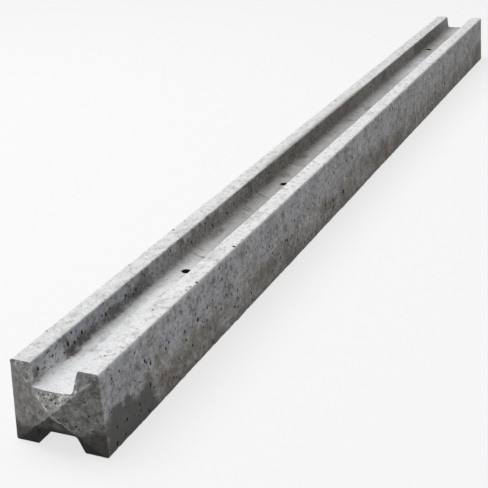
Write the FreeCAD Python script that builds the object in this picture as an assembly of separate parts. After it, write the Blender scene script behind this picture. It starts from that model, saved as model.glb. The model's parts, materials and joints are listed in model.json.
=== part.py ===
"""Slotted concrete fence post, cast in one piece, lying on one of its slotted faces.

+X runs along the post, from its flat base end to its weathered point, and +Z is up.
Origin: the middle of the post's length and width, on the surface that it lies on.
The post has an H section: a panel slot runs the full length of its upper and lower
face. The sides lean in towards the upper face, so that the casting leaves its mould.
"""

import FreeCAD, Part

import math
import os

# Driving dimensions, in millimetres
overall_length = 1750.0  # base end to the tip of the weathered point
height = 94.0  # between the two slotted faces
lower_width = 109.0  # across the lower slotted face
side_draft = 4.0  # how far each side leans in over the height

slot_mouth = 54.0  # width of a panel slot where it opens
slot_depth = 23.0
slot_draft = 3.5  # how far each slot wall leans in over the depth
slot_corner_radius = 4.0  # between a slot's floor and its walls

upper_arris_radius = 2.5  # outer long edges of the upper face
upper_lip_radius = 2.5  # edges of the upper slot's mouth
lower_arris_radius = 2.0
lower_lip_radius = 2.0

point_rise = 16.0  # the four-way weathered point, from its shoulder to its tip

hole_diameter = 12.0  # fixing holes through the web
first_hole_from_shoulder = 297.0
second_hole_from_shoulder = 624.0
base_hole_from_end = 229.0
base_hole_offset = -11.0  # this one was cast off the centre line, towards -Y

tool_overrun = 5.0  # how far a cutting tool runs past the faces that it cuts

# Worked out from the sizes above
upper_width = lower_width - 2 * side_draft
slot_floor = slot_mouth - 2 * slot_draft
base_x = -overall_length / 2
tip_x = overall_length / 2
shoulder_x = tip_x - point_rise


def rounding(corner, before, after, radius):
    """Start, middle and end of the arc that rounds a corner between its two neighbours."""
    to_before = (before - corner).normalize()
    to_after = (after - corner).normalize()
    half_angle = to_before.getAngle(to_after) / 2
    bisector = (to_before + to_after).normalize()
    tangent_length = radius / math.tan(half_angle)
    centre_distance = radius / math.sin(half_angle)
    return (
        corner + to_before * tangent_length,
        corner + bisector * (centre_distance - radius),
        corner + to_after * tangent_length,
    )


def rounded_face(x, corners):
    """A flat face across the post at x, from (y, z, radius) corners."""
    points = [FreeCAD.Vector(x, y, z) for y, z, _ in corners]
    arcs = []
    for i, (_, _, radius) in enumerate(corners):
        before, after = points[i - 1], points[(i + 1) % len(points)]
        arcs.append(rounding(points[i], before, after, radius))
    edges = []
    for i, (start, middle, end) in enumerate(arcs):
        next_start = arcs[(i + 1) % len(arcs)][0]
        edges.append(Part.Arc(start, middle, end).toShape())
        edges.append(Part.LineSegment(end, next_start).toShape())
    return Part.Face(Part.Wire(edges))


def section_corners():
    """The H section's corners: up the +Y leg from the lower slot, then down the -Y leg."""
    plus_y_leg = [
        (slot_floor / 2, slot_depth, slot_corner_radius),
        (slot_mouth / 2, 0, lower_lip_radius),
        (lower_width / 2, 0, lower_arris_radius),
        (upper_width / 2, height, upper_arris_radius),
        (slot_mouth / 2, height, upper_lip_radius),
        (slot_floor / 2, height - slot_depth, slot_corner_radius),
    ]
    minus_y_leg = [(-y, z, radius) for y, z, radius in reversed(plus_y_leg)]
    return plus_y_leg + minus_y_leg


def straight_post():
    """The H section run the whole length, square at both ends."""
    section = rounded_face(base_x, section_corners())
    return section.extrude(FreeCAD.Vector(overall_length, 0, 0))


def pyramid(base, tip):
    """A closed solid from a ring of base points and a tip."""
    faces = [Part.Face(Part.makePolygon(base + base[:1]))]
    for i, point in enumerate(base):
        following = base[(i + 1) % len(base)]
        faces.append(Part.Face(Part.makePolygon([point, following, tip, point])))
    solid = Part.makeSolid(Part.makeShell(faces))
    if solid.Volume < 0:
        solid.reverse()
    return solid


def point_waste():
    """What is missing round the point: a block less the pyramid of the four slopes.

    The slopes start at the section's outline at the shoulder. They are carried on
    behind it for one more rise, where they stand clear of the post on every side.
    """
    axis = FreeCAD.Vector(0, 0, height / 2)
    outline = [
        FreeCAD.Vector(0, -lower_width / 2, 0),
        FreeCAD.Vector(0, lower_width / 2, 0),
        FreeCAD.Vector(0, upper_width / 2, height),
        FreeCAD.Vector(0, -upper_width / 2, height),
    ]
    back_x = shoulder_x - point_rise
    base = [axis + (corner - axis) * 2 for corner in outline]
    for corner in base:
        corner.x = back_x
    slopes = pyramid(base, FreeCAD.Vector(tip_x, 0, height / 2))
    block = Part.makeBox(
        2 * point_rise + tool_overrun,
        lower_width + 2 * tool_overrun,
        height + 2 * tool_overrun,
        FreeCAD.Vector(back_x, -lower_width / 2 - tool_overrun, -tool_overrun),
    )
    return block.cut(slopes)


def web_holes():
    """The three fixing holes, as upright cylinders that run past the web."""
    web = height - 2 * slot_depth
    places = [
        (shoulder_x - first_hole_from_shoulder, 0),
        (shoulder_x - second_hole_from_shoulder, 0),
        (base_x + base_hole_from_end, base_hole_offset),
    ]
    return [
        Part.makeCylinder(
            hole_diameter / 2,
            web + 2 * tool_overrun,
            FreeCAD.Vector(x, y, slot_depth - tool_overrun),
        )
        for x, y in places
    ]


def fence_post():
    post = straight_post().cut(point_waste())
    for hole in web_holes():
        post = post.cut(hole)
    return post


def main():
    os.makedirs("parts", exist_ok=True)
    post = fence_post()
    post.exportStep("parts/fence_post.step")
    print("solids", len(post.Solids), "valid", post.isValid(), "faces", len(post.Faces))
    print(post.BoundBox)
    print("volume, litres", round(post.Volume / 1e6, 4))


main()
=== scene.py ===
# %% [markdown]
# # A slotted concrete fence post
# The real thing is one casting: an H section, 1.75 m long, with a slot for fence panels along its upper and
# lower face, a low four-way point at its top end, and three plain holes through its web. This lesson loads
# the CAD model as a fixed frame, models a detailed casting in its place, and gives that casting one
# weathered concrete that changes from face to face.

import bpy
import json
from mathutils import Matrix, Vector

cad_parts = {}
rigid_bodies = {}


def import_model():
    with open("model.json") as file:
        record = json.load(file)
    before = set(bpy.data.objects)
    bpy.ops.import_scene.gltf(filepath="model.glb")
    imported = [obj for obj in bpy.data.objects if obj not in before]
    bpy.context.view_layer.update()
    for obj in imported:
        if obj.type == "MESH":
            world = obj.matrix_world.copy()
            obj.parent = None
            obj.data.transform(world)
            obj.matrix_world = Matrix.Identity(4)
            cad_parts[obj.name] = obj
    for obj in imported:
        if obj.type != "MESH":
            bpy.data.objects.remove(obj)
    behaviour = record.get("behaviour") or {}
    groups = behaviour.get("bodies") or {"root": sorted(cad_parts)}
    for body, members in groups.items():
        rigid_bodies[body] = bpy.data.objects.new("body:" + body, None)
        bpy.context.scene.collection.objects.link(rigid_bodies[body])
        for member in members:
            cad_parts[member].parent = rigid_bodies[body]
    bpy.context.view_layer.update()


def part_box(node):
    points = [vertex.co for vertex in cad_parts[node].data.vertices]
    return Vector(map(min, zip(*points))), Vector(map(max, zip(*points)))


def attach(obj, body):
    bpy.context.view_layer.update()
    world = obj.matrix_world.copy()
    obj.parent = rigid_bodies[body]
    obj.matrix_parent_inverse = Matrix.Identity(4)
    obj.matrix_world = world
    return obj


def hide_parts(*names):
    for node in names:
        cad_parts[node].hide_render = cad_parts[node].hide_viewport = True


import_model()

# %% [markdown]
# ## Sizes
# The overall sizes come from the CAD node's own box, so the casting can't drift away from it. The section's
# own sizes are those of the CAD model, in metres. The draft is the lean that lets the casting leave its
# mould.

# %% Set the sizes
import json
import math
import random

import bmesh
import bpy
import mathutils

low_corner, high_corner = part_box("fence_post")
base_x, tip_x = low_corner.x, high_corner.x
height = high_corner.z
lower_width = 0.109
upper_width = 0.101
slot_mouth = 0.054
slot_floor = 0.047
slot_depth = 0.023
point_rise = 0.016
shoulder_x = tip_x - point_rise
print("post from", round(base_x, 4), "to", round(tip_x, 4), "shoulder at", round(shoulder_x, 4), "height",
      round(height, 4))

# %% [markdown]
# ## The camera
# A long lens from above the pointed end, turned so that the post runs away to the far corner of the frame.
# It comes before the modelling, so that every later step can be looked at through it.

# %% Place the camera
bpy.ops.object.camera_add(
    location=(1.66596, 0.56714, 0.62083),
    rotation=(math.radians(67.2924), math.radians(2.0552), math.radians(113.0493)),
)
camera = bpy.context.object
camera.name = "camera"
camera.data.sensor_width = 36
camera.data.lens = 82.54
camera.data.clip_end = 60
bpy.context.scene.camera = camera
bpy.context.scene.view_settings.view_transform = "Standard"
print("camera", tuple(round(v, 3) for v in camera.location), "lens", camera.data.lens, "mm")

# %% [markdown]
# ## Light
# Plain studio light: a pale world all round, and one large lamp high up on the -Y side, so that the +Y
# faces and the slot's +Y-facing wall are the quieter ones. The lamp is big, because a small one would cut
# hard shadows into the slot.

# %% Light the studio
def area_lamp(name, place, aim, size, watts):
    """A square lamp at place, turned to face aim."""
    bpy.ops.object.light_add(type="AREA", location=place)
    lamp = bpy.context.object
    lamp.name = name
    lamp.data.size = size
    lamp.data.energy = watts
    direction = mathutils.Vector(aim) - mathutils.Vector(place)
    lamp.rotation_euler = direction.to_track_quat("-Z", "Y").to_euler()
    return lamp


area_lamp("overhead_lamp", (0.2, -1.3, 3.0), (0, 0, 0), 2.6, 70)
area_lamp("end_lamp", (3.2, -1.0, 1.6), (0.6, 0, 0.05), 1.2, 10)


def see_white(nodes, links, lit, output, share):
    """Mixes a lit shader with plain white for rays that come from the camera, a gloss or a glass."""
    path = nodes.new("ShaderNodeLightPath")
    seen = nodes.new("ShaderNodeMath")
    seen.operation = "MAXIMUM"
    links.new(path.outputs["Is Camera Ray"], seen.inputs[0])
    links.new(path.outputs["Is Glossy Ray"], seen.inputs[1])
    seen_all = nodes.new("ShaderNodeMath")
    seen_all.operation = "MAXIMUM"
    links.new(seen.outputs[0], seen_all.inputs[0])
    links.new(path.outputs["Is Transmission Ray"], seen_all.inputs[1])
    amount = nodes.new("ShaderNodeMath")
    amount.operation = "MULTIPLY"
    links.new(seen_all.outputs[0], amount.inputs[0])
    amount.inputs[1].default_value = share
    on_surface = output.bl_idname == "ShaderNodeOutputMaterial"
    white = nodes.new("ShaderNodeEmission" if on_surface else "ShaderNodeBackground")
    white.inputs["Color"].default_value = (1, 1, 1, 1)
    white.inputs["Strength"].default_value = 1
    mixer = nodes.new("ShaderNodeMixShader")
    links.new(amount.outputs[0], mixer.inputs[0])
    links.new(lit.outputs[0], mixer.inputs[1])
    links.new(white.outputs[0], mixer.inputs[2])
    links.new(mixer.outputs[0], output.inputs["Surface"])


world = bpy.data.worlds.new("studio")
bpy.context.scene.world = world
world.use_nodes = True
world.node_tree.nodes.clear()
dome = world.node_tree.nodes.new("ShaderNodeBackground")
dome.inputs["Color"].default_value = (0.97, 0.985, 1, 1)
dome.inputs["Strength"].default_value = 0.33
see_white(world.node_tree.nodes, world.node_tree.links, dome,
          world.node_tree.nodes.new("ShaderNodeOutputWorld"), 1)

# %% [markdown]
# ## Floor
# A large pale sheet. It is part of the studio and not of the post. It shows mostly white, and keeps the
# post's shadow.

# %% Lay the floor
bpy.ops.mesh.primitive_plane_add(size=24, location=(0, 0, 0))
floor = bpy.context.object
floor.name = "studio_floor"
floor_paint = bpy.data.materials.new("studio_floor_paint")
floor_paint.use_nodes = True
floor_paint.node_tree.nodes.clear()
matt = floor_paint.node_tree.nodes.new("ShaderNodeBsdfDiffuse")
matt.inputs["Color"].default_value = (0.9, 0.9, 0.9, 1)
floor_output = floor_paint.node_tree.nodes.new("ShaderNodeOutputMaterial")
see_white(floor_paint.node_tree.nodes, floor_paint.node_tree.links, matt, floor_output, 0.72)
floor.data.materials.append(floor_paint)

# %% [markdown]
# ## Picking faces and edges in code
# Every edit-mode operator acts on what is selected. By hand that is a click; here a small helper picks
# parts of the mesh by where they are or which way they face, after it has let go of everything else.

# %% Make the picking helpers
def let_go():
    """Leaves edit mode and deselects every object."""
    if bpy.context.object and bpy.context.object.mode == "EDIT":
        bpy.ops.object.mode_set(mode="OBJECT")
    bpy.ops.object.select_all(action="DESELECT")


def pick(piece, kind, test):
    """Selects the verts, edges or faces of the piece in edit mode that pass the test, and nothing else."""
    bpy.context.tool_settings.mesh_select_mode = (kind == "verts", kind == "edges", kind == "faces")
    bpy.ops.mesh.select_all(action="DESELECT")
    shape = bmesh.from_edit_mesh(piece.data)
    shape.normal_update()
    count = 0
    for part in getattr(shape, kind):
        if test(part):
            part.select_set(True)
            count += 1
    bmesh.update_edit_mesh(piece.data)
    return count


def near(a, b, reach=1e-5):
    """True where two measures are the same but for rounding."""
    return abs(a - b) < reach


# %% [markdown]
# ## The section
# The casting starts as its end view: a plate as wide and high as the post, with its top edge drawn in for
# the draft. Cutting the plate at the slot lines and deleting the two slot patches leaves the H.

# %% Cut the H section
let_go()
bpy.ops.mesh.primitive_plane_add(size=1, location=(0, 0, 0), rotation=(0, -math.pi / 2, 0))
post = bpy.context.object
post.name = "weathered_fence_post"
bpy.ops.object.transform_apply(location=True, rotation=True, scale=True)
bpy.ops.object.mode_set(mode="EDIT")
bpy.ops.mesh.select_all(action="SELECT")
bpy.ops.transform.resize(value=(1, lower_width, height))
bpy.ops.transform.translate(value=(base_x, 0, height / 2))
pick(post, "verts", lambda v: v.co.z > height / 2)
bpy.ops.transform.resize(value=(1, upper_width / lower_width, 1))
for level in (slot_depth, height - slot_depth):
    bpy.ops.mesh.select_all(action="SELECT")
    bpy.ops.mesh.bisect(plane_co=(0, 0, level), plane_no=(0, 0, 1))
draft = (slot_mouth - slot_floor) / 2
for up in (1, -1):
    corner_z = height - slot_depth if up == 1 else slot_depth
    for side in (1, -1):
        pick(post, "faces", lambda f: (f.calc_center_median().z - corner_z) * up > 0)
        bpy.ops.mesh.bisect(plane_co=(0, side * slot_floor / 2, corner_z),
                            plane_no=(0, slot_depth, -side * up * draft))
    pick(post, "faces",
         lambda f: (f.calc_center_median().z - corner_z) * up > 0 and abs(f.calc_center_median().y) < 0.01)
    bpy.ops.mesh.delete(type="FACE")
bpy.ops.mesh.select_all(action="SELECT")
bpy.ops.mesh.dissolve_faces(use_verts=False)
print("section", len(post.data.polygons), "face")

# %% [markdown]
# A casting has no knife edges, because the wet mix doesn't fill a sharp corner and the mould is eased there
# anyway. Bevelling the section's corner points rounds all the long edges at once. The slot's inner corners
# get the largest radius, and the arrises that the mould lid forms get more than those at its bottom.

# %% Round the section's corners
def ease(where, interior_degrees, radius, steps):
    """Rounds the picked corner points: the bevel starts a tangent length away from each."""
    count = pick(post, "verts", where)
    tangent = radius / math.tan(math.radians(interior_degrees) / 2)
    bpy.ops.mesh.bevel(offset=tangent, offset_type="OFFSET", segments=steps, affect="VERTICES", profile=0.5)
    return count


lean = math.degrees(math.atan2((lower_width - upper_width) / 2, height))
wall_lean = math.degrees(math.atan2(draft, slot_depth))
eased = 0
eased += ease(lambda v: near(abs(v.co.y), upper_width / 2) and near(v.co.z, height), 90 + lean, 0.0025, 4)
eased += ease(lambda v: near(abs(v.co.y), slot_mouth / 2) and near(v.co.z, height), 90 + wall_lean, 0.0025, 4)
eased += ease(lambda v: near(abs(v.co.y), slot_floor / 2) and near(v.co.z, height - slot_depth),
              90 + wall_lean, 0.004, 5)
eased += ease(lambda v: near(abs(v.co.y), slot_floor / 2) and near(v.co.z, slot_depth), 90 + wall_lean, 0.004,
              5)
eased += ease(lambda v: near(abs(v.co.y), slot_mouth / 2) and near(v.co.z, 0), 90 + wall_lean, 0.002, 3)
eased += ease(lambda v: near(abs(v.co.y), lower_width / 2) and near(v.co.z, 0), 90 - lean, 0.002, 3)
print("corners eased", eased)

# %% [markdown]
# ## From section to post
# The outline is divided finely before it is pulled out, so that the long faces get enough points to carry
# dips and bumps later. The last stretch, which the point is cut from, stays undivided along X and gets its
# grid afterwards.

# %% Divide the outline and pull it out
def divide_runs(longest):
    """Divides each straight run of the outline into parts no longer than this."""
    shape = bmesh.from_edit_mesh(post.data)
    lengths = sorted({round(e.calc_length(), 6) for e in shape.edges if e.calc_length() > longest})
    for length in lengths:
        pick(post, "edges", lambda e: near(e.calc_length(), length, 2e-6))
        bpy.ops.mesh.subdivide(number_cuts=math.ceil(length / longest) - 1)


def runs_along_x(edge):
    """True for an edge that lies lengthwise."""
    return near(abs(edge.verts[0].co.x - edge.verts[1].co.x), edge.calc_length(), 1e-6)


bpy.ops.mesh.select_all(action="SELECT")
bpy.ops.mesh.delete(type="ONLY_FACE")
divide_runs(0.0036)
solid_end = shoulder_x - 0.010
bpy.ops.mesh.select_all(action="SELECT")
bpy.ops.mesh.extrude_region_move(TRANSFORM_OT_translate={"value": (solid_end - base_x, 0, 0)})
for cuts in (10, 29):
    pick(post, "edges", lambda e: runs_along_x(e) and e.calc_length() > 0.0075)
    bpy.ops.mesh.subdivide(number_cuts=cuts)
pick(post, "edges", lambda e: near(e.verts[0].co.x, solid_end) and near(e.verts[1].co.x, solid_end))
bpy.ops.mesh.extrude_region_move(TRANSFORM_OT_translate={"value": (tip_x + 0.003 - solid_end, 0, 0)})
for end in (base_x, tip_x + 0.003):
    pick(post, "edges", lambda e: near(e.verts[0].co.x, end) and near(e.verts[1].co.x, end))
    bpy.ops.mesh.edge_face_add()
bpy.ops.mesh.select_all(action="SELECT")
bpy.ops.mesh.normals_make_consistent(inside=False)
shape = bmesh.from_edit_mesh(post.data)
print("pulled out:", len(shape.faces), "faces")

# %% [markdown]
# ## The weathered point
# Rain should run off the end that stands up, so the mould gives it four low slopes that meet at a tip. Each
# slope is one cut that throws the waste away and fills what it opened.

# %% Cut the four slopes
half_height = height / 2
for side in (1, -1):
    bpy.ops.mesh.select_all(action="SELECT")
    bpy.ops.mesh.bisect(plane_co=(tip_x, 0, half_height), plane_no=(half_height, 0, side * point_rise),
                        use_fill=True, clear_outer=True, threshold=2e-6)
mean_half_width = (lower_width + upper_width) / 4
for side in (1, -1):
    down_edge = mathutils.Vector((0, -side * (lower_width - upper_width) / 2, height)).normalized()
    up_slope = mathutils.Vector((point_rise, -side * mean_half_width, 0))
    outward = up_slope.cross(down_edge) * -side
    outward.normalize()
    if outward.x < 0:
        outward.negate()
    bpy.ops.mesh.select_all(action="SELECT")
    bpy.ops.mesh.bisect(plane_co=(tip_x, 0, half_height), plane_no=outward,
                        use_fill=True, clear_outer=True, threshold=2e-6)
shape = bmesh.from_edit_mesh(post.data)
slopes = [f for f in shape.faces if f.normal.x > 0.5]
print("slopes", len(slopes), "tip at", round(max(v.co.x for v in shape.verts), 5))

# %% [markdown]
# The ridges between the slopes, the shoulder and the rim of the base end are eased by under a millimetre.

# %% Ease the ridges, the shoulder and the base rim
def is_ridge(edge):
    """True for an edge that bounds a slope or an end face and turns by more than 12 degrees."""
    if len(edge.link_faces) != 2:
        return False
    ends = [abs(f.normal.x) > 0.5 for f in edge.link_faces]
    return any(ends) and edge.calc_face_angle() > math.radians(12)


pick(post, "edges", is_ridge)
bpy.ops.mesh.bevel(offset=0.0009, offset_type="OFFSET", segments=2, affect="EDGES", profile=0.6,
                   clamp_overlap=True)
shape = bmesh.from_edit_mesh(post.data)
print("after easing:", len(shape.faces), "faces, open edges", sum(not e.is_manifold for e in shape.edges))

# %% [markdown]
# The end faces are still single large polygons. A grid of cuts gives them points to carry dips and bumps.

# %% Lay a grid on the slopes and the base end
def grid_on(faces_pass, step):
    """Cuts the faces that pass along a grid of this step in Y and Z."""
    for axis, low, high in ((1, -lower_width / 2, lower_width / 2), (2, 0, height)):
        count = int((high - low) / step)
        for i in range(1, count):
            place, direction = [0, 0, 0], [0, 0, 0]
            place[axis] = low + (high - low) * i / count
            direction[axis] = 1
            pick(post, "faces", faces_pass)
            bpy.ops.mesh.bisect(plane_co=place, plane_no=direction, threshold=2e-5)


grid_on(lambda f: abs(f.normal.x) > 0.6 and f.calc_area() > 2e-6, 0.005)
shape = bmesh.from_edit_mesh(post.data)
print("with end grids:", len(shape.faces), "faces, open edges", sum(not e.is_manifold for e in shape.edges))

# %% [markdown]
# ## Slot floor and hand finish
# The upper slot's floor is floated by hand while the mix is wet, so it sags a little between the slot's
# walls and has soft waves across it. Everything else copies the mould, which isn't perfectly flat either.

# %% Sag the floor
def is_floor(v, half_width):
    """True for a point of the upper slot's floor within this distance of its middle."""
    above = v.co.z - (height - slot_depth)
    return abs(v.co.y) < half_width and -0.004 < above < 0.002 and abs(v.co.x) < tip_x


for half_width, drop in ((0.0165, 0.0004), (0.0125, 0.0004), (0.0085, 0.0003)):
    pick(post, "verts", lambda v: is_floor(v, half_width))
    bpy.ops.transform.translate(value=(0, 0, -drop))
pick(post, "verts", lambda v: is_floor(v, 0.0185))
bpy.ops.object.mode_set(mode="OBJECT")
post.vertex_groups.new(name="floated_floor")
bpy.ops.object.mode_set(mode="EDIT")
bpy.ops.object.vertex_group_assign()
pick(post, "verts", lambda v: abs(v.co.y) > 0.046 and (v.co.z > height - 0.004 or v.co.z < 0.003))
bpy.ops.object.mode_set(mode="OBJECT")
arris_group = post.vertex_groups.new(name="arrises")
post.vertex_groups.active_index = arris_group.index
bpy.ops.object.mode_set(mode="EDIT")
bpy.ops.object.vertex_group_assign()
bpy.ops.object.mode_set(mode="OBJECT")
print("groups", [g.name for g in post.vertex_groups])

# %% [markdown]
# Cloud patterns push the surface in and out: long waves and small dents all over, float marks in the slot,
# and wear along the arrises. Each is a modifier that is applied at once, so that the mesh itself has the
# shape.

# %% Make the faces uneven
def uneven(name, size, depth, detail=2, group="", middle_level=0.5):
    """Pushes the surface in and out along its normals by a cloud pattern of this size, and applies it."""
    pattern = bpy.data.textures.new(name, "CLOUDS")
    pattern.noise_scale = size
    pattern.noise_depth = detail
    bpy.ops.object.modifier_add(type="DISPLACE")
    wave = post.modifiers[-1]
    wave.texture = pattern
    wave.texture_coords = "LOCAL"
    wave.strength = depth
    wave.mid_level = middle_level
    wave.vertex_group = group
    bpy.ops.object.modifier_apply(modifier=wave.name)


let_go()
post.select_set(True)
bpy.context.view_layer.objects.active = post
uneven("mould_waves", 0.16, 0.0012)
uneven("mould_dents", 0.022, 0.00045)
uneven("float_marks", 0.030, 0.0016, group="floated_floor")
uneven("worn_arrises", 0.009, 0.0012, group="arrises", middle_level=0.62)
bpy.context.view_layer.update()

# %% [markdown]
# ## Holes and blowholes
# The three fixing holes were formed by pins in the mould. Blowholes are air bubbles that the mix left
# against the mould, so most of them are on the tall sides. One bubble is modelled and copied, each copy
# turned and squashed in its own way, and all of them are cut out at once.

# %% Cut the fixing holes
def cut_out(cutter):
    """Subtracts the cutter from the post and throws the cutter away."""
    let_go()
    post.select_set(True)
    bpy.context.view_layer.objects.active = post
    bpy.ops.object.modifier_add(type="BOOLEAN")
    cut = post.modifiers[-1]
    cut.operation = "DIFFERENCE"
    cut.solver = "MANIFOLD"
    cut.material_mode = "TRANSFER"
    cut.object = cutter
    bpy.ops.object.modifier_apply(modifier=cut.name)
    bpy.data.objects.remove(cutter)
    print("after the cut:", len(post.data.polygons), "faces")


concrete = bpy.data.materials.new("weathered_concrete")
# The second material is painted shade for the walls of the blowholes.
painted_pit_shade = bpy.data.materials.new("blowhole_painted_shade")
post.data.materials.append(concrete)

hole_radius = 0.006
hole_places = ((shoulder_x - 0.297, 0), (shoulder_x - 0.624, 0), (base_x + 0.229, -0.011))
for x, y in hole_places:
    let_go()
    bpy.ops.mesh.primitive_cylinder_add(vertices=48, radius=hole_radius, depth=height - slot_depth,
                                        location=(x, y, half_height))
    pin = bpy.context.object
    pin.data.materials.append(concrete)
    cut_out(pin)

# %% [markdown]
# One bubble is a small dented ball. Its own dark material, painted shade, stays on the wall of the pit it
# leaves.

# %% Model one bubble
let_go()
bpy.ops.mesh.primitive_uv_sphere_add(segments=9, ring_count=6, radius=1, location=(0, 0, 0))
bubble = bpy.context.object
bubble.name = "one_bubble"
bpy.ops.object.mode_set(mode="EDIT")
pick(bubble, "verts", lambda v: v.co.x > 0.4)
bpy.ops.transform.resize(value=(1.0, 0.8, 0.85))
pick(bubble, "verts", lambda v: v.co.y < -0.5)
bpy.ops.transform.translate(value=(0.12, 0.1, 0))
bpy.ops.object.mode_set(mode="OBJECT")
bubble.data.materials.append(painted_pit_shade)
print("bubble", len(bubble.data.polygons), "faces")

# %% [markdown]
# Each scatter asks a place function for a spot and the way out of the concrete there, and skips a spot that
# would run into an earlier bubble. The random numbers start from a fixed seed, so every run gives the same
# casting.

# %% Scatter the bubbles over the faces
chance = random.Random(94)
run_low, run_high = -0.86, 0.85


def side_y(z):
    """Half the post's width at a height."""
    return lower_width / 2 - (lower_width - upper_width) / 2 * z / height


def slot_y(z):
    """Half the slot's width at a height in the upper or lower slot."""
    into = max(z - (height - slot_depth), slot_depth - z)
    return slot_floor / 2 + draft * into / slot_depth


def opens_into_slot(spot, margin=0.002):
    """True for a spot on an end face that lies over one of the slots."""
    beside = abs(spot.y) < slot_y(max(spot.z, height - slot_depth)) + margin
    return beside and abs(spot.z - half_height) > half_height - slot_depth - margin


def on_side(sign, low_z, high_z, low_x, high_x):
    """Draws spots on one side face. The second vector points out of the concrete."""
    def place():
        z = chance.uniform(low_z, high_z)
        spot = mathutils.Vector((chance.uniform(low_x, high_x), sign * side_y(z), z))
        return spot, mathutils.Vector((0, sign, 0))
    return place


def on_slot_wall(sign, low_z, high_z, low_x, high_x):
    """Draws spots on one wall of the upper or the lower slot."""
    def place():
        z = chance.uniform(low_z, high_z)
        spot = mathutils.Vector((chance.uniform(low_x, high_x), sign * slot_y(z), z))
        return spot, mathutils.Vector((0, -sign, 0))
    return place


def on_level(z, up, low_y, high_y, low_x=run_low, high_x=run_high):
    """Draws spots on a level face that looks up (1) or down (-1)."""
    def place():
        y = chance.uniform(low_y, high_y)
        return mathutils.Vector((chance.uniform(low_x, high_x), y, z)), mathutils.Vector((0, 0, up))
    return place


bubbles = []
moulded = {"smallest": 0.0005, "largest": 0.0030, "sink": lambda: chance.uniform(-0.1, 0.35),
           "turn": (-0.5, 0.5),
           "squash": ((0.70, 1.05), (0.75, 1.1), (0.85, 1.55))}
end_cast = {"smallest": 0.0004, "largest": 0.0022, "sink": lambda: 0.2, "turn": (0, math.tau),
            "squash": ((0.75, 1.2), (0.75, 1.2), (0.75, 1.2))}


def scatter(count, place, mean_radius, style=moulded):
    """Copies the bubble to count spots, keeping each clear of the others."""
    made = 0
    for _ in range(count * 20):
        if made == count:
            break
        spot, outward = place()
        if style is end_cast and opens_into_slot(spot):
            continue
        radius = chance.lognormvariate(math.log(mean_radius), 0.35)
        radius = min(max(radius, style["smallest"]), style["largest"])
        if any((spot - other).length < (radius + reach) * 1.5 for other, reach in bubbles):
            continue
        bubbles.append((spot, radius))
        copy = bpy.data.objects.new("bubble", bubble.data.copy())
        bpy.context.scene.collection.objects.link(copy)
        copy.location = spot + outward * radius * style["sink"]()
        copy.rotation_euler = [chance.uniform(*style["turn"]) for _ in range(3)]
        copy.scale = [radius * chance.uniform(low, high) for low, high in style["squash"]]
        made += 1


for sign in (1, -1):
    scatter(86, on_side(sign, 0.006, 0.058, 0.25, 0.80), 0.0016)
    scatter(44, on_side(sign, 0.050, 0.089, 0.30, 0.855), 0.0013)
    scatter(12, on_side(sign, 0.006, 0.050, 0.80, 0.855), 0.0012)
    scatter(54, on_side(sign, 0.008, 0.086, -0.30, 0.25), 0.0015)
    scatter(32, on_side(sign, 0.008, 0.086, run_low, -0.30), 0.0013)
    scatter(14, on_slot_wall(sign, 0.075, 0.082, 0.60, 0.81), 0.0019)
    scatter(34, on_slot_wall(sign, 0.076, 0.090, 0.35, 0.855), 0.0011)
    scatter(22, on_slot_wall(sign, 0.076, 0.090, run_low, 0.35), 0.0010)
    scatter(16, on_slot_wall(sign, 0.005, 0.018, run_low, run_high), 0.0011)
    scatter(26, on_level(height, 1, sign * 0.030, sign * 0.048), 0.0009)
    scatter(5, on_level(height, 1, sign * 0.046, sign * 0.049, 0.35, 0.80), 0.0017)
    scatter(16, on_level(0, -1, sign * 0.031, sign * 0.050), 0.0013)
scatter(16, on_level(height - slot_depth - 0.0008, 1, -0.016, 0.016), 0.0009)
scatter(26, on_level(slot_depth, -1, -0.017, 0.017), 0.0012)
print("bubbles", len(bubbles))

# %% [markdown]
# The ends have fewer and smaller ones. A spot on a slope is drawn between the tip and an edge of the
# section, and any that would fall where a slot opens is left out. When all the copies are placed, they are
# joined and cut out at once.

# %% Scatter them over the point and the base end
def on_slope(side_y_sign, side_z_sign):
    """Draws spots on one slope, which runs from the tip to the middle of one edge of the section."""
    def place():
        along, across = chance.uniform(0.12, 0.8), chance.uniform(-0.7, 0.7)
        if side_y_sign:
            y, z = side_y_sign * along * side_y(half_height), half_height * (1 + along * across)
            outward = mathutils.Vector((side_y(half_height), side_y_sign * point_rise, 0))
        else:
            y, z = along * across * side_y(half_height), half_height * (1 + side_z_sign * along)
            outward = mathutils.Vector((half_height, 0, side_z_sign * point_rise))
        return mathutils.Vector((tip_x - point_rise * along, y, z)), outward.normalized()
    return place


def on_base_end():
    """Draws spots on the flat base end."""
    y, z = chance.uniform(-0.048, 0.048), chance.uniform(0.006, 0.088)
    return mathutils.Vector((base_x, y, z)), mathutils.Vector((-1, 0, 0))


scatter(10, on_slope(0, 1), 0.0011, end_cast)
scatter(13, on_slope(1, 0), 0.0009, end_cast)
scatter(8, on_slope(-1, 0), 0.0008, end_cast)
scatter(5, on_slope(0, -1), 0.0009, end_cast)
scatter(18, on_base_end, 0.0012, end_cast)
bpy.data.objects.remove(bubble)
let_go()
for piece in bpy.context.scene.objects:
    if piece.name.startswith("bubble"):
        piece.select_set(True)
        bpy.context.view_layer.objects.active = piece
bpy.ops.object.join()
all_bubbles = bpy.context.object
bpy.ops.object.transform_apply(location=True, rotation=True, scale=True)
print("all bubbles", len(all_bubbles.data.polygons), "faces")
cut_out(all_bubbles)

# %% [markdown]
# Faces that meet at a low angle are shaded as one, and the real edges stay crisp.

# %% Smooth the faces and keep the edges
let_go()
post.select_set(True)
bpy.context.view_layer.objects.active = post
bpy.ops.object.shade_smooth_by_angle(angle=math.radians(32))
triangles = sum(len(polygon.vertices) - 2 for polygon in post.data.polygons)
print("post", len(post.data.polygons), "faces,", triangles, "triangles, materials", [m.name for m in post.data.materials])

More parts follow.
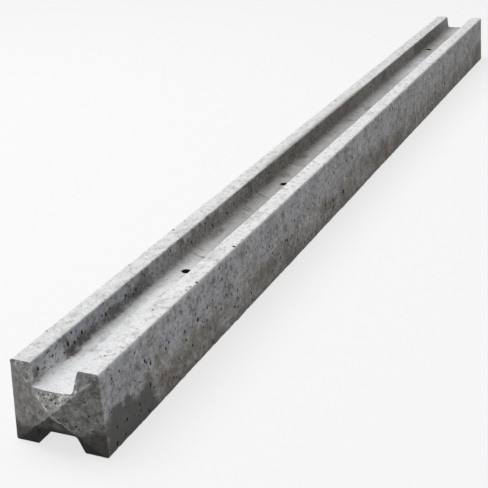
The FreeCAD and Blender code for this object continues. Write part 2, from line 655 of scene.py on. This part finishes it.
# %% [markdown]
# ## Concrete, in words a node tree can follow
# One concrete has to look right on every face: pale and chalky on top where cement milk dried, cool grey on
# the sides, warmer and dirtier low down where the ground splashes it, brown in the slot where leaves have
# lain. A few small helpers keep the tree readable: each makes one node and returns its output.

# %% Make the node helpers
tree = None


def begin(material):
    """Empties a material's tree, and makes it the one that the helpers add to."""
    global tree
    material.use_nodes = True
    tree = material.node_tree
    tree.nodes.clear()


def feed(socket, value):
    """Links an output to the socket, or writes a plain value on it."""
    if isinstance(value, bpy.types.NodeSocket):
        tree.links.new(value, socket)
    elif isinstance(value, tuple) and len(value) == 3 and len(socket.default_value) == 4:
        socket.default_value = (*value, 1)
    else:
        socket.default_value = value


def number(operation, first, second=0.0, third=0.5):
    """One sum on numbers. The third is only read by MULTIPLY_ADD."""
    node = tree.nodes.new("ShaderNodeMath")
    node.operation = operation
    feed(node.inputs[0], first)
    feed(node.inputs[1], second)
    node.inputs[2].default_value = third
    return node.outputs[0]


def plus(first, second):
    return number("ADD", first, second)


def minus(first, second):
    return number("SUBTRACT", first, second)


def times(*factors):
    """Multiplies any count of masks and shares together."""
    result = factors[0]
    for factor in factors[1:]:
        result = number("MULTIPLY", result, factor)
    return result


def sway(pattern, amount):
    """Turns a pattern into a swing either side of zero, to make a straight border wander."""
    return times(minus(pattern, 0.5), amount)


def rise(value, low, high, start=0.0, end=1.0):
    """Start below low, end above high, and a smooth step between. Low may be the larger, for a fall."""
    node = tree.nodes.new("ShaderNodeMapRange")
    node.interpolation_type = "SMOOTHSTEP"
    feed(node.inputs["Value"], value)
    if low > high:
        low, high, start, end = high, low, end, start
    feed(node.inputs["From Min"], low)
    feed(node.inputs["From Max"], high)
    feed(node.inputs["To Min"], start)
    feed(node.inputs["To Max"], end)
    return node.outputs["Result"]


def blend(amount, first, second, way="MIX"):
    """Mixes two colours: the first at 0, the second at 1."""
    node = tree.nodes.new("ShaderNodeMix")
    node.data_type = "RGBA"
    node.blend_type = way
    feed(node.inputs[0], amount)
    feed(node.inputs[6], first)
    feed(node.inputs[7], second)
    return node.outputs[2]


def tinge(under, pattern, low, high, share, tone):
    """Lays a tone over a colour where the pattern goes from low towards high, at most at this share."""
    return blend(times(rise(pattern, low, high), share), under, tone)


def stretched(factors, shift=(0.0, 0.0, 0.0)):
    """Object coordinates multiplied axis by axis: below 1 draws the pattern out along that axis."""
    node = tree.nodes.new("ShaderNodeMapping")
    feed(node.inputs["Vector"], place_on_post)
    node.inputs["Scale"].default_value = factors
    node.inputs["Location"].default_value = shift
    return node.outputs["Vector"]


def cloud(size, detail=3.0, rough=0.55, at=None, twist=0.0):
    """A soft random pattern from 0 to 1 with blotches of about this size in metres."""
    node = tree.nodes.new("ShaderNodeTexNoise")
    feed(node.inputs["Vector"], at or place_on_post)
    node.inputs["Scale"].default_value = 1 / size
    node.inputs["Detail"].default_value = detail
    node.inputs["Roughness"].default_value = rough
    node.inputs["Distortion"].default_value = twist
    return node.outputs["Fac"]


def dots(size, share, radius, at=None):
    """Small round spots on this share of cells of this size, each this wide in cell sizes."""
    node = tree.nodes.new("ShaderNodeTexVoronoi")
    feed(node.inputs["Vector"], at or place_on_post)
    node.inputs["Scale"].default_value = 1 / size
    parts = tree.nodes.new("ShaderNodeSeparateColor")
    tree.links.new(node.outputs["Color"], parts.inputs[0])
    chosen = number("LESS_THAN", parts.outputs[0], share)
    wide = number("MULTIPLY_ADD", parts.outputs[1], radius * 0.7, radius * 0.5)
    inside = minus(wide, node.outputs["Distance"])
    return times(chosen, rise(inside, 0.0, 0.06))


def patch(x, z, wide, high, edge=0.35, wobble=None, up_from=None):
    """1 in an oval centred at x and z, falling to 0 at its rim. wobble makes the rim uneven."""
    across = number("DIVIDE", minus(along, x), wide)
    upward = number("DIVIDE", minus(up_from or level, z), high)
    reach = number("SQRT", plus(times(across, across), times(upward, upward)))
    if wobble is not None:
        reach = plus(reach, wobble)
    return rise(reach, 1.0, 1.0 - edge)


# %% [markdown]
# ## Where on the post is this point?
# Object coordinates give the place in metres, and the surface normal tells top from side from slope. From
# those come soft masks, one for each kind of face.

# %% Start the concrete and find the faces
begin(concrete)
place_on_post = tree.nodes.new("ShaderNodeTexCoord").outputs["Object"]
split = tree.nodes.new("ShaderNodeSeparateXYZ")
tree.links.new(place_on_post, split.inputs[0])
along, across_post, level = split.outputs
facing = tree.nodes.new("ShaderNodeSeparateXYZ")
tree.links.new(tree.nodes.new("ShaderNodeNewGeometry").outputs["Normal"], facing.inputs[0])
from_axis = number("ABSOLUTE", across_post)

is_up = rise(facing.outputs[2], 0.45, 0.85)
is_down = rise(facing.outputs[2], -0.45, -0.85)
is_plus_y = rise(facing.outputs[1], 0.4, 0.85)
is_slope = rise(facing.outputs[0], 0.6, 0.85)
is_inside = rise(from_axis, 0.0292, 0.0268)
is_upper_slot = times(is_inside, rise(level, 0.066, 0.070))
is_floor_face = times(is_upper_slot, rise(level, 0.080, 0.074))
at_foot = rise(plus(from_axis, sway(cloud(0.012, 3, 0.6), 0.010)), 0.0150, 0.0230)
wall_like = number("MAXIMUM", rise(facing.outputs[2], 0.9, 0.45),
                   times(at_foot, rise(level, 0.080, 0.074), rise(along, 0.850, 0.790)))
is_wall = times(is_upper_slot, wall_like, rise(facing.outputs[0], 0.8, 0.5))
print("masks:", len(tree.nodes), "nodes")

# %% [markdown]
# ## Patterns shared by all the faces
# Broad mottling from patches of wetter and drier mix, fine sand grain, streaks that ran down the sides, and
# the ripples of the float across the slot's floor.

# %% Make the shared patterns
mottle = cloud(0.045, 5, 0.62)
mottle_small = cloud(0.012, 4, 0.65)
grain = cloud(0.0022, 3, 0.7)
speckle = cloud(0.0048, 3, 0.6)
sand = cloud(0.0009, 2, 0.6)
tint = cloud(0.09, 3, 0.5, at=stretched((1, 1, 1), (3.1, 0.4, 0.9)))
run_down = cloud(0.010, 4, 0.6, at=stretched((1.0, 1.0, 0.13)))
run_down_wide = cloud(0.030, 3, 0.55, at=stretched((1.0, 1.0, 0.22), (1.7, 0.0, 0.3)))
lengthwise = cloud(0.010, 3, 0.55, at=stretched((0.10, 1.0, 1.0)))

bow = times(times(across_post, across_post), 14.0)
float_place = tree.nodes.new("ShaderNodeCombineXYZ")
tree.links.new(plus(along, bow), float_place.inputs[0])
tree.links.new(times(across_post, 0.16), float_place.inputs[1])
ripple = cloud(0.0052, 3, 0.65, at=float_place.outputs[0], twist=0.6)
rippled = times(rise(cloud(0.035, 2, 0.5), 0.42, 0.62), rise(along, 0.68, 0.50, 0.25, 1.0))
print("patterns:", len(tree.nodes), "nodes")

# %% [markdown]
# ## The colour of each face
# Each face mixes a lighter and a darker colour by the patterns, and the masks then lay the faces over each
# other.

# %% Colour the sides
cool_grey = (0.385, 0.390, 0.420)
warm_grey = (0.300, 0.285, 0.262)
side_height = plus(level, sway(run_down_wide, 0.085))
side = blend(rise(side_height, 0.058, 0.030), cool_grey, warm_grey)
side = tinge(side, tint, 0.40, 0.65, 0.6, (0.375, 0.350, 0.335))
side = tinge(side, run_down, 0.46, 0.70, 0.16, (0.47, 0.46, 0.47))
side = tinge(side, run_down, 0.52, 0.32, 0.24, (0.225, 0.215, 0.205))
side = tinge(side, mottle, 0.50, 0.32, 0.68, (0.19, 0.175, 0.155))
side = tinge(side, mottle, 0.52, 0.70, 0.50, (0.50, 0.50, 0.52))
side = tinge(side, mottle_small, 0.52, 0.66, 0.58, (0.57, 0.56, 0.55))
side = tinge(side, mottle_small, 0.46, 0.33, 0.70, (0.14, 0.13, 0.115))
side = tinge(side, speckle, 0.54, 0.66, 0.60, (0.60, 0.59, 0.58))
side = tinge(side, speckle, 0.45, 0.34, 0.62, (0.13, 0.125, 0.115))

edge_height = plus(level, sway(mottle_small, 0.010))
side = tinge(side, edge_height, 0.0880, 0.0930, 0.75, (0.66, 0.66, 0.67))
print("sides:", len(tree.nodes), "nodes so far")

# %% [markdown]
# The ground splashes the lower edge, and one corner by the point has stood in the wet. Each stain is an
# oval whose rim wanders, given as a place along the post, a height, two half sizes and a strength.

# %% Stain the sides
rim = number("MULTIPLY_ADD", plus(cloud(0.030, 4, 0.6), times(mottle_small, 0.35)), 1.25, -0.80)
damp = (0.078, 0.077, 0.074)
splash = (0.150, 0.132, 0.105)
mud = (0.185, 0.165, 0.130)
damp_corner = number("MAXIMUM", patch(0.826, 0.012, 0.043, 0.046, 0.22, rim),
                     patch(0.785, 0.004, 0.050, 0.040, 0.40, rim))
splashes = [
    (0.700, 0.022, 0.120, 0.014,
     0.45),
    (0.610, 0.030, 0.080, 0.016, 0.50),
    (0.440, 0.026, 0.110, 0.022, 0.65),
    (0.370, 0.012, 0.090, 0.014,
     0.45),
    (0.180, 0.026, 0.060, 0.022, 0.50),
    (0.110, 0.020, 0.050, 0.018, 0.35),
    (0.000, 0.032, 0.060, 0.026, 0.75),
    (-0.090, 0.022, 0.090, 0.026,
                                         0.75),
    (-0.170, 0.022, 0.090, 0.024, 0.60),
    (-0.290, 0.022, 0.060, 0.016,
     0.45),
    (-0.480, 0.018, 0.060, 0.014, 0.40),
    (-0.640, 0.020, 0.090, 0.016, 0.45),
    (-0.830, 0.022, 0.070, 0.036, 0.85),
]
splashed = None
for x, z, wide, high, strength in splashes:
    one = times(patch(x, z, wide, high, 0.9, rim), strength)
    splashed = one if splashed is None else number("MAXIMUM", splashed, one)
low_dirt = times(rise(plus(level, times(mottle, 0.030)), 0.034, 0.014), 0.45)
side = blend(low_dirt, side, mud)
side = blend(splashed, side, splash)
side = blend(times(damp_corner, is_plus_y, 0.92), side, damp)
print(len(splashes), "splashes and the damp corner")

# %% [markdown]
# Cement milk dried pale on the two upper strips, with thin grey patches, specks, and grime along one lip.

# %% Colour the top
chalk = blend(rise(across_post, -0.01, 0.01), (0.80, 0.80, 0.795), (0.90, 0.90, 0.895))
top = tinge(chalk, mottle, 0.48, 0.30, 0.62, (0.58, 0.57, 0.56))
top = tinge(top, mottle_small, 0.50, 0.70, 0.75, (0.98, 0.98, 0.98))
top = tinge(top, mottle_small, 0.46, 0.32, 0.62, (0.55, 0.54, 0.53))
top = tinge(top, lengthwise, 0.44, 0.26, 0.30, (0.60, 0.59, 0.57))
top = tinge(top, speckle, 0.54, 0.66, 0.60, (0.98, 0.98, 0.98))
top = tinge(top, speckle, 0.45, 0.32, 0.70, (0.46, 0.45, 0.44))
top = blend(times(dots(0.010, 0.26, 0.12), 0.75), top, (0.20, 0.19, 0.18))
top = tinge(top, tint, 0.60, 0.78, 0.30, (0.80, 0.74, 0.66))
lip_grime = times(rise(across_post, -0.036, -0.0275), rise(across_post, -0.010, -0.020),
                  rise(along, 0.30, 0.18), rise(along, -0.28, -0.16))
top = blend(times(lip_grime, 0.70), top, (0.38, 0.36, 0.34))
print("concrete so far:", len(tree.nodes), "nodes")

# %% [markdown]
# The floor is chalky near the point and dirtier in the middle, with ripples across it from the float.

# %% Colour the slot's floor
floor_tone = blend(rise(along, 0.40, 0.66), (0.44, 0.435, 0.43), (0.90, 0.905, 0.915))
floor_tone = blend(times(rise(along, -0.36, -0.44), rise(along, -0.60, -0.54)), floor_tone,
                   (0.62, 0.625, 0.64))
floor_tone = blend(rise(along, -0.76, -0.82), floor_tone, (0.62, 0.61, 0.60))
# Along the -Y wall the floor gets darker: partly painted shadow of that wall, partly dirt.
wall_shadow_and_dirt = times(rise(plus(across_post, sway(mottle_small, 0.016)), -0.002, -0.021),
                  rise(plus(along, times(mottle, 0.2)), 0.90, 0.84, 0.15, 1.0))
floor_tone = blend(times(wall_shadow_and_dirt, 0.62), floor_tone, (0.215, 0.200, 0.185))
floor_tone = blend(times(rise(ripple, 0.48, 0.36), rippled, 0.80), floor_tone, (0.17, 0.165, 0.16))
floor_tone = blend(times(rise(ripple, 0.54, 0.74), rippled, 0.40), floor_tone, (0.74, 0.74, 0.74))
floor_tone = tinge(floor_tone, mottle, 0.46, 0.28, 0.45, (0.30, 0.285, 0.27))
floor_tone = tinge(floor_tone, mottle_small, 0.54, 0.76, 0.30, (0.78, 0.775, 0.77))
floor_tone = tinge(floor_tone, speckle, 0.40, 0.30, 0.40, (0.30, 0.29, 0.28))
print("concrete so far:", len(tree.nodes), "nodes")

# %% [markdown]
# The walls never dried in the sun. They are grey near the point, brown in the middle, and drips ran over
# one lip.

# %% Colour the slot's walls
wall = blend(rise(plus(along, times(mottle, 0.3)), 0.62, 0.86), (0.315, 0.302, 0.280), (0.41, 0.42, 0.445))
near_foot = rise(level, 0.092, 0.074, 0.35, 1.0)
wall = blend(times(rise(plus(along, times(mottle, 0.08)), 0.80, 0.90), near_foot), wall, (0.80, 0.81, 0.83))
brown_run = times(rise(along, 0.36, 0.20), rise(along, -0.24, -0.10))
wall = blend(times(brown_run, 0.45), wall, (0.165, 0.150, 0.125))
wall = blend(times(rise(along, -0.56, -0.62), rise(along, -0.80, -0.72), 0.6), wall, (0.13, 0.125, 0.125))
wall = blend(rise(along, -0.78, -0.86), wall, (0.42, 0.42, 0.43))
wall = tinge(wall, mottle, 0.50, 0.34, 0.65, (0.125, 0.115, 0.100))
wall = tinge(wall, mottle_small, 0.52, 0.72, 0.40, (0.44, 0.44, 0.44))
wall = tinge(wall, run_down, 0.50, 0.70, 0.30, (0.40, 0.39, 0.38))

drip_height = plus(level, sway(run_down, 0.085))
drips = times(rise(drip_height, 0.0895, 0.0925), rise(along, 0.62, 0.50), rise(along, 0.30, 0.42))
wall = blend(times(drips, 0.75), wall, (0.62, 0.60, 0.58))
wall = tinge(wall, edge_height, 0.0905, 0.0940, 0.55, (0.60, 0.60, 0.60))
wall = tinge(wall, speckle, 0.46, 0.34, 0.70, (0.10, 0.092, 0.084))
wall = tinge(wall, speckle, 0.54, 0.66, 0.50, (0.58, 0.57, 0.56))
print("concrete so far:", len(tree.nodes), "nodes")

# %% [markdown]
# Each slope gets its own tone by the way it faces, and these tones are painted light and shade: the upper
# slope lighter, the +Y slope darker and the lower slope nearly black. All are wet low down.

# %% Colour the four slopes of the point
blotch = plus(times(mottle_small, 0.6), times(cloud(0.006, 4, 0.65), 0.4))
slope = blend(rise(blotch, 0.38, 0.62), (0.175, 0.168, 0.155), (0.285, 0.278, 0.268))
# The upper slope's lighter tone is painted light.
is_top_slope = rise(facing.outputs[2], 0.16, 0.28)
under_slot = times(rise(from_axis, 0.026, 0.020), rise(level, 0.074, 0.070))
top_slope_painted_light_and_mottle = blend(under_slot, (0.235, 0.232, 0.228), (0.345, 0.340, 0.330))
top_slope_painted_light_and_mottle = tinge(top_slope_painted_light_and_mottle, blotch, 0.50, 0.62, 0.75, (0.56, 0.555, 0.545))
top_slope_painted_light_and_mottle = tinge(top_slope_painted_light_and_mottle, blotch, 0.46, 0.34, 0.70, (0.155, 0.150, 0.140))
slope = blend(is_top_slope, slope, top_slope_painted_light_and_mottle)
# The +Y slope's darker tone is painted shade.
is_plus_slope = rise(facing.outputs[1], 0.10, 0.25)
plus_slope_painted_shade_and_mottle = blend(rise(plus(times(blotch, 0.6), times(speckle, 0.4)), 0.36, 0.62), (0.085, 0.083, 0.078),
                   (0.215, 0.214, 0.210))
slope = blend(times(is_plus_slope, 0.85), slope, plus_slope_painted_shade_and_mottle)
slope = tinge(slope, speckle, 0.54, 0.66, 0.40, (0.36, 0.355, 0.345))
slope = tinge(slope, speckle, 0.46, 0.34, 0.55, (0.070, 0.066, 0.060))
# The lower slope is nearly black: painted shade.
is_low_slope = rise(facing.outputs[2], -0.16, -0.28)
low_slope_painted_shade_and_mottle = blend(rise(level, 0.032, 0.024),
                  blend(rise(blotch, 0.42, 0.60), (0.030, 0.030, 0.029), (0.085, 0.085, 0.082)),
                  (0.010, 0.010, 0.009))
slope = blend(times(is_low_slope, 0.95), slope, low_slope_painted_shade_and_mottle)
wet_height = plus(level, sway(mottle, 0.050))
slope = blend(times(rise(wet_height, 0.030, 0.019), minus(1.0, is_low_slope), 0.85), slope,
              (0.042, 0.040, 0.033))
brown_spot = rise(number("SQRT", plus(times(plus(across_post, 0.022), plus(across_post, 0.022)),
                                        times(minus(level, 0.036), minus(level, 0.036)))), 0.0065, 0.0030)
slope = blend(times(brown_spot, 0.6), slope, (0.085, 0.065, 0.050))
print("concrete so far:", len(tree.nodes), "nodes")

# %% [markdown]
# Now the masks put each tone on its own face.

# %% Lay the faces over each other
colour = blend(is_up, side, top)
colour = blend(times(is_floor_face, is_up), colour, floor_tone)
colour = blend(is_wall, colour, wall)
# Faces that look down get a dark colour: painted shade under the post.
colour = blend(times(is_down, 0.80), colour, (0.085, 0.082, 0.076))
colour = blend(is_slope, colour, slope)
print("concrete so far:", len(tree.nodes), "nodes")

# %% [markdown]
# Each blot is a ball of colour: a place, three half sizes, a strength and a tone. Its rim is ragged.

# %% Blot the slot where leaves and mud lay
leaf_brown = (0.125, 0.110, 0.094)
soft_grey = (0.30, 0.30, 0.31)
blots = [
    (0.790, -0.0225, 0.0700, 0.013, 0.0070, 0.0070, 0.95,
     leaf_brown),
    (0.762, -0.0262, 0.0740, 0.030, 0.0060, 0.0075, 0.90, leaf_brown),
    (0.855, -0.0262, 0.0780, 0.005, 0.0050, 0.0080, 0.85,
     leaf_brown),
    (0.774, -0.0060, 0.0705, 0.009, 0.0028, 0.0100, 0.45, soft_grey),
    (0.753, -0.0070, 0.0705, 0.010, 0.0030, 0.0100, 0.42, soft_grey),
    (0.700, -0.0245, 0.0745, 0.034, 0.0070, 0.0080, 0.80, leaf_brown),
    (0.640, -0.0250, 0.0765, 0.030, 0.0070, 0.0090, 0.75,
     leaf_brown),
    (0.631, 0.0025, 0.0705, 0.008, 0.0025, 0.0100, 0.40, soft_grey),
    (0.444, -0.0132, 0.0705, 0.022, 0.0060, 0.0100, 0.45,
     leaf_brown),
    (0.200, -0.0120, 0.0705, 0.012, 0.0080, 0.0100, 0.60, leaf_brown),
    (0.110, -0.0160, 0.0705, 0.012, 0.0060, 0.0100, 0.65, leaf_brown),
    (-0.100, -0.0100, 0.0705, 0.012, 0.0070, 0.0100, 0.55, leaf_brown),
    (-0.180, -0.0020, 0.0705, 0.014, 0.0050, 0.0100, 0.60,
     leaf_brown),
    (0.300, -0.0060, 0.0705, 0.012, 0.0040, 0.0100, 0.40, soft_grey),
]
ragged = times(minus(plus(times(cloud(0.010, 4, 0.65), 0.6), times(speckle, 0.4)), 0.5), 6.5)
for x, y, z, long, wide, high, strength, tone in blots:
    off_x = number("DIVIDE", minus(along, x), long)
    off_y = number("DIVIDE", minus(across_post, y), wide)
    off_z = number("DIVIDE", minus(level, z), high)
    away = plus(plus(times(off_x, off_x), times(off_y, off_y)), times(off_z, off_z))
    colour = blend(times(rise(plus(away, ragged), 1.9, -0.2), is_upper_slot, strength), colour, tone)
print("concrete so far:", len(tree.nodes), "nodes")

# %% [markdown]
# The lower slot hardly sees light, so its faces get painted shade: a nearly black colour.

# %% Paint shade into the lower slot
lower_slot_shade = times(is_inside, rise(level, 0.034, 0.026), rise(facing.outputs[0], 0.8, 0.5))
colour = blend(times(lower_slot_shade, 0.90), colour, (0.014, 0.014, 0.013))
print("concrete so far:", len(tree.nodes), "nodes")

# %% [markdown]
# The walls of the three holes get a nearly black colour as well: painted shade deep in the holes.

# %% Paint shade into the fixing holes
for x, y in hole_places:
    aside = minus(along, x)
    over = minus(across_post, y)
    from_hole = number("SQRT", plus(times(aside, aside), times(over, over)))
    hole_shade = times(rise(from_hole, 0.0068, 0.0062), rise(facing.outputs[2], 0.7, 0.3),
                    rise(level, height - 0.021, height - 0.025))
    colour = blend(times(hole_shade, 0.95), colour, (0.018, 0.017, 0.016))
print("holes:", len(tree.nodes), "nodes")

# %% [markdown]
# ## Worn ridges, pinholes and grain
# The ridges of the point are rubbed down to pale cement. Pinholes too small to model are dark dots, painted
# shade in the tiny holes, that are also pressed in by the bump. Grain goes over everything.

# %% Wear the ridges and the shoulder
up_share = number("DIVIDE", number("ABSOLUTE", minus(level, half_height)), half_height)
ridge_gap = number("ABSOLUTE", minus(number("DIVIDE", from_axis, mean_half_width), up_share))
ridge_wear = rise(cloud(0.005, 4, 0.7), 0.42, 0.60)
faint_corner = minus(1.0, times(rise(across_post, -0.016, -0.024), rise(level, 0.060, 0.066), 0.75))
on_ridge = times(rise(ridge_gap, 0.028, 0.006), is_slope, ridge_wear, faint_corner,
                 rise(level, 0.012, 0.046, 0.12, 1.0))
colour = blend(times(on_ridge, 0.80), colour, (0.60, 0.59, 0.57))
near_tip = times(is_slope, is_top_slope, rise(cloud(0.006, 3, 0.6), 0.52, 0.62), rise(along, 0.861, 0.869))
colour = blend(times(near_tip, 0.75), colour, (0.78, 0.77, 0.75))

# %% [markdown]
# The grain multiplies the colour, so that it shows as much on a pale face as on a dark one.

# %% Add pinholes and grain
pinholes = number("MAXIMUM", dots(0.0085, 0.24, 0.085), dots(0.0042, 0.10, 0.13))
pin_share = minus(1.0, times(is_up, 0.72))
# The pinholes' dark dots are painted shade in holes too small to model.
colour = blend(times(pinholes, pin_share, 0.85), colour, (0.045, 0.043, 0.040))
grit = plus(sway(grain, 0.62), sway(sand, 0.40))
grit_colour = tree.nodes.new("ShaderNodeCombineColor")
for channel in grit_colour.inputs:
    tree.links.new(plus(grit, 1.0), channel)
colour = blend(1.0, colour, grit_colour.outputs[0], "MULTIPLY")
print("concrete so far:", len(tree.nodes), "nodes")

# %% [markdown]
# The finest unevenness is too small for the mesh, so the bump carries it.

# %% Press the pattern into the surface
bumps = plus(times(grain, 0.00022), times(sand, 0.00010))
bumps = plus(bumps, times(mottle_small, 0.00045))
bumps = plus(bumps, times(ripple, rippled, is_floor_face, 0.00090))
bumps = minus(bumps, times(pinholes, 0.0008))
bump = tree.nodes.new("ShaderNodeBump")
bump.inputs["Strength"].default_value = 0.85
bump.inputs["Distance"].default_value = 1.0
tree.links.new(bumps, bump.inputs["Height"])

shader = tree.nodes.new("ShaderNodeBsdfPrincipled")
tree.links.new(colour, shader.inputs["Base Color"])
tree.links.new(rise(plus(times(damp_corner, is_plus_y, 0.6), times(mottle, 0.2)), 0.0, 0.8, 0.92, 0.66),
               shader.inputs["Roughness"])
tree.links.new(bump.outputs["Normal"], shader.inputs["Normal"])
shader.inputs["Specular IOR Level"].default_value = 0.30
output = tree.nodes.new("ShaderNodeOutputMaterial")
tree.links.new(shader.outputs[0], output.inputs["Surface"])
print("concrete has", len(tree.nodes), "nodes")

# %% [markdown]
# ## Inside a blowhole
# A blowhole is only a millimetre or two deep. Its wall gets a dark, mottled colour: painted shade inside the
# pit.

# %% Paint shade into the blowholes
begin(painted_pit_shade)
place_on_post = tree.nodes.new("ShaderNodeTexCoord").outputs["Object"]
shader = tree.nodes.new("ShaderNodeBsdfPrincipled")
# The dark colour is painted shade inside each pit.
tree.links.new(blend(rise(cloud(0.004, 3, 0.6), 0.35, 0.70), (0.022, 0.021, 0.020), (0.085, 0.080, 0.072)),
               shader.inputs["Base Color"])
shader.inputs["Roughness"].default_value = 0.95
shader.inputs["Specular IOR Level"].default_value = 0.15
output = tree.nodes.new("ShaderNodeOutputMaterial")
tree.links.new(shader.outputs[0], output.inputs["Surface"])
print("lining has", len(tree.nodes), "nodes")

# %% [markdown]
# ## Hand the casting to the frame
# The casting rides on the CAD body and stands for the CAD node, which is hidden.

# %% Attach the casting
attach(post, "root")
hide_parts("fence_post")
